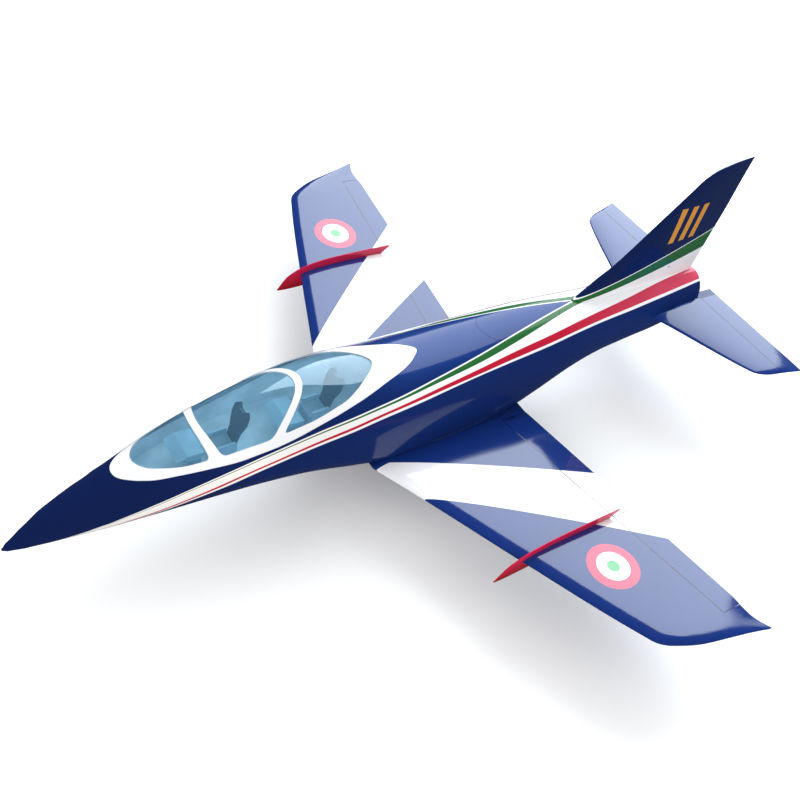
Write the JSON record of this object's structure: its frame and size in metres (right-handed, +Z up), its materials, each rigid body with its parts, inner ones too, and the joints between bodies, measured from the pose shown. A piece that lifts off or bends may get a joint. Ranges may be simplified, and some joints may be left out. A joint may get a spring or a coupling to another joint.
{
  "type": "radio-controlled jet plane",
  "caption": "Swept-wing sport jet model with a framed two-seat canopy, wing fences, hinged control surfaces, retractable wheeled legs and an internal turbine.",
  "frame": {"origin": "on the flat belly panel, under the wing, on the plane of symmetry", "axes": "+X towards the nose, +Y towards the left wing tip, +Z up"},
  "size_m": [2.2255, 2, 0.6495],
  "materials": {
    "shell_navy": "gloss",
    "sheeted_navy": "gloss",
    "fence_red": "gloss",
    "frame_white": "gloss",
    "canopy_clear": "gloss",
    "tub_grey": "satin",
    "seat_dark": "matte",
    "panel_dark": "matte",
    "tube_alloy": "satin",
    "bolt_steel": "satin",
    "ply": "matte",
    "turbine_alloy": "satin",
    "rotor_steel": "satin",
    "pipe_steel": "satin",
    "tank_clear": "satin",
    "cell_wrap": "satin",
    "receiver_black": "matte",
    "gear_alloy": "satin",
    "tyre_black": "matte",
    "servo_black": "satin",
    "arm_white": "satin"
  },
  "bodies": {
    "airframe": {"fuselage_shell": "shell_navy", "cockpit_tub": "tub_grey", "seat_front": "seat_dark", "seat_rear": "seat_dark", "panel_front": "panel_dark", "panel_rear": "panel_dark", "fin": "sheeted_navy", "wing_left": "sheeted_navy", "wing_right": "sheeted_navy", "fence_left": "fence_red", "fence_right": "fence_red", "wing_tube": "tube_alloy", "wing_bolts": "bolt_steel", "stab_left": "sheeted_navy", "stab_right": "sheeted_navy", "stab_pins": "tube_alloy", "nose_former": "ply", "main_former": "ply", "rear_former": "ply", "tail_former": "ply", "turbine_case": "turbine_alloy", "turbine_rails": "ply", "thrust_tube": "pipe_steel", "fuel_tank": "tank_clear", "battery": "cell_wrap", "receiver": "receiver_black", "nose_retract": "gear_alloy", "main_retract_left": "gear_alloy", "main_retract_right": "gear_alloy", "servo_left": "servo_black", "servo_right": "servo_black"},
    "canopy": {"canopy_frame": "frame_white", "canopy_glass": "canopy_clear"},
    "rear_hatch": {"rear_hatch": "shell_navy"},
    "rudder": {"rudder": "sheeted_navy"},
    "aileron_left": {"aileron_left": "sheeted_navy"},
    "aileron_right": {"aileron_right": "sheeted_navy"},
    "flap_left": {"flap_left": "sheeted_navy"},
    "flap_right": {"flap_right": "sheeted_navy"},
    "elevator_left": {"elevator_left": "sheeted_navy"},
    "elevator_right": {"elevator_right": "sheeted_navy"},
    "turbine_rotor": {"turbine_rotor": "rotor_steel"},
    "nose_leg": {"nose_strut": "gear_alloy", "nose_door": "shell_navy"},
    "nose_wheel": {"nose_hub": "gear_alloy", "nose_tyre": "tyre_black"},
    "main_leg_left": {"main_strut_left": "gear_alloy", "main_door_left": "shell_navy"},
    "main_wheel_left": {"main_hub_left": "gear_alloy", "main_tyre_left": "tyre_black"},
    "main_leg_right": {"main_strut_right": "gear_alloy", "main_door_right": "shell_navy"},
    "main_wheel_right": {"main_hub_right": "gear_alloy", "main_tyre_right": "tyre_black"},
    "servo_arm_left": {"servo_arm_left": "arm_white"},
    "servo_arm_right": {"servo_arm_right": "arm_white"},
    "pushrod_left": {"pushrod_left": "bolt_steel"},
    "pushrod_right": {"pushrod_right": "bolt_steel"}
  },
  "joints": [
    {"name": "canopy_lift", "type": "slide", "parent": "airframe", "child": "canopy", "axis": [0, 0, 1], "range_m": [0, 0.2]},
    {"name": "hatch_lift", "type": "slide", "parent": "airframe", "child": "rear_hatch", "axis": [0, 0, 1], "range_m": [0, 0.15]},
    {"name": "aileron_left_turn", "type": "hinge", "parent": "airframe", "child": "aileron_left", "pos_m": [-0.25903, 0.74, 0.0862], "axis": [-0.114, 0.9897, 0.0864], "range_deg": [-25, 25]},
    {"name": "aileron_right_turn", "type": "hinge", "parent": "airframe", "child": "aileron_right", "pos_m": [-0.25903, -0.74, 0.0862], "axis": [0.114, 0.9897, -0.0864], "range_deg": [-25, 25]},
    {"name": "flap_left_turn", "type": "hinge", "parent": "airframe", "child": "flap_left", "pos_m": [-0.21524, 0.36, 0.05303], "axis": [0.114, -0.9897, -0.0864], "range_deg": [0, 38]},
    {"name": "flap_right_turn", "type": "hinge", "parent": "airframe", "child": "flap_right", "pos_m": [-0.21524, -0.36, 0.05303], "axis": [-0.114, -0.9897, 0.0864], "range_deg": [0, 38]},
    {"name": "elevator_left_turn", "type": "hinge", "parent": "airframe", "child": "elevator_left", "pos_m": [-1.0325, 0.22, 0.165], "axis": [0, 1, 0], "range_deg": [-25, 25]},
    {"name": "elevator_right_turn", "type": "hinge", "parent": "airframe", "child": "elevator_right", "pos_m": [-1.0325, -0.22, 0.165], "axis": [0, 1, 0], "range_deg": [-25, 25]},
    {"name": "rudder_turn", "type": "hinge", "parent": "airframe", "child": "rudder", "pos_m": [-0.96152, 0, 0.43], "axis": [-0.1386, 0, 0.9903], "range_deg": [-28, 28]},
    {"name": "rotor_spin", "type": "hinge", "parent": "airframe", "child": "turbine_rotor", "pos_m": [-0.42, 0, 0.163], "axis": [1, 0, 0], "continuous": true},
    {"name": "nose_gear_swing", "type": "hinge", "parent": "airframe", "child": "nose_leg", "pos_m": [0.83, 0, 0.075], "axis": [0, -1, 0], "range_deg": [0, 90]},
    {"name": "nose_wheel_spin", "type": "hinge", "parent": "nose_leg", "child": "nose_wheel", "pos_m": [0.665, 0, 0.075], "axis": [0, 1, 0], "continuous": true},
    {"name": "main_gear_left_swing", "type": "hinge", "parent": "airframe", "child": "main_leg_left", "pos_m": [-0.015, 0.36, 0.05303], "axis": [1, 0, 0], "range_deg": [0, 85]},
    {"name": "main_gear_right_swing", "type": "hinge", "parent": "airframe", "child": "main_leg_right", "pos_m": [-0.015, -0.36, 0.05303], "axis": [-1, 0, 0], "range_deg": [0, 85]},
    {"name": "main_wheel_left_spin", "type": "hinge", "parent": "main_leg_left", "child": "main_wheel_left", "pos_m": [-0.015, 0.22252, 0.04103], "axis": [0, -0.087, 0.9962], "continuous": true},
    {"name": "main_wheel_right_spin", "type": "hinge", "parent": "main_leg_right", "child": "main_wheel_right", "pos_m": [-0.015, -0.22252, 0.04103], "axis": [0, 0.087, 0.9962], "continuous": true},
    {"name": "servo_arm_left_turn", "type": "hinge", "parent": "airframe", "child": "servo_arm_left", "pos_m": [-0.17955, 0.74909, 0.087], "axis": [-0.114, 0.9897, 0.0864], "range_deg": [-25, 25]},
    {"name": "servo_arm_right_turn", "type": "hinge", "parent": "airframe", "child": "servo_arm_right", "pos_m": [-0.17955, -0.74909, 0.087], "axis": [0.114, 0.9897, -0.0864], "range_deg": [-25, 25]},
    {"name": "pushrod_left_turn", "type": "hinge", "parent": "servo_arm_left", "child": "pushrod_left", "pos_m": [-0.17955, 0.751, 0.06508], "axis": [-0.114, 0.9897, 0.0864], "range_deg": [-25, 25]},
    {"name": "pushrod_right_turn", "type": "hinge", "parent": "servo_arm_right", "child": "pushrod_right", "pos_m": [-0.17955, -0.751, 0.06508], "axis": [0.114, 0.9897, -0.0864], "range_deg": [-25, 25]}
  ],
  "couplings": [
    {"joint": "aileron_right_turn", "follows": "aileron_left_turn", "ratio": -1},
    {"joint": "servo_arm_left_turn", "follows": "aileron_left_turn", "ratio": 1},
    {"joint": "servo_arm_right_turn", "follows": "aileron_left_turn", "ratio": -1},
    {"joint": "pushrod_left_turn", "follows": "aileron_left_turn", "ratio": -1},
    {"joint": "pushrod_right_turn", "follows": "aileron_left_turn", "ratio": 1},
    {"joint": "flap_right_turn", "follows": "flap_left_turn", "ratio": 1},
    {"joint": "elevator_right_turn", "follows": "elevator_left_turn", "ratio": 1},
    {"joint": "main_gear_left_swing", "follows": "nose_gear_swing", "ratio": 0.94444},
    {"joint": "main_gear_right_swing", "follows": "nose_gear_swing", "ratio": 0.94444}
  ]
}
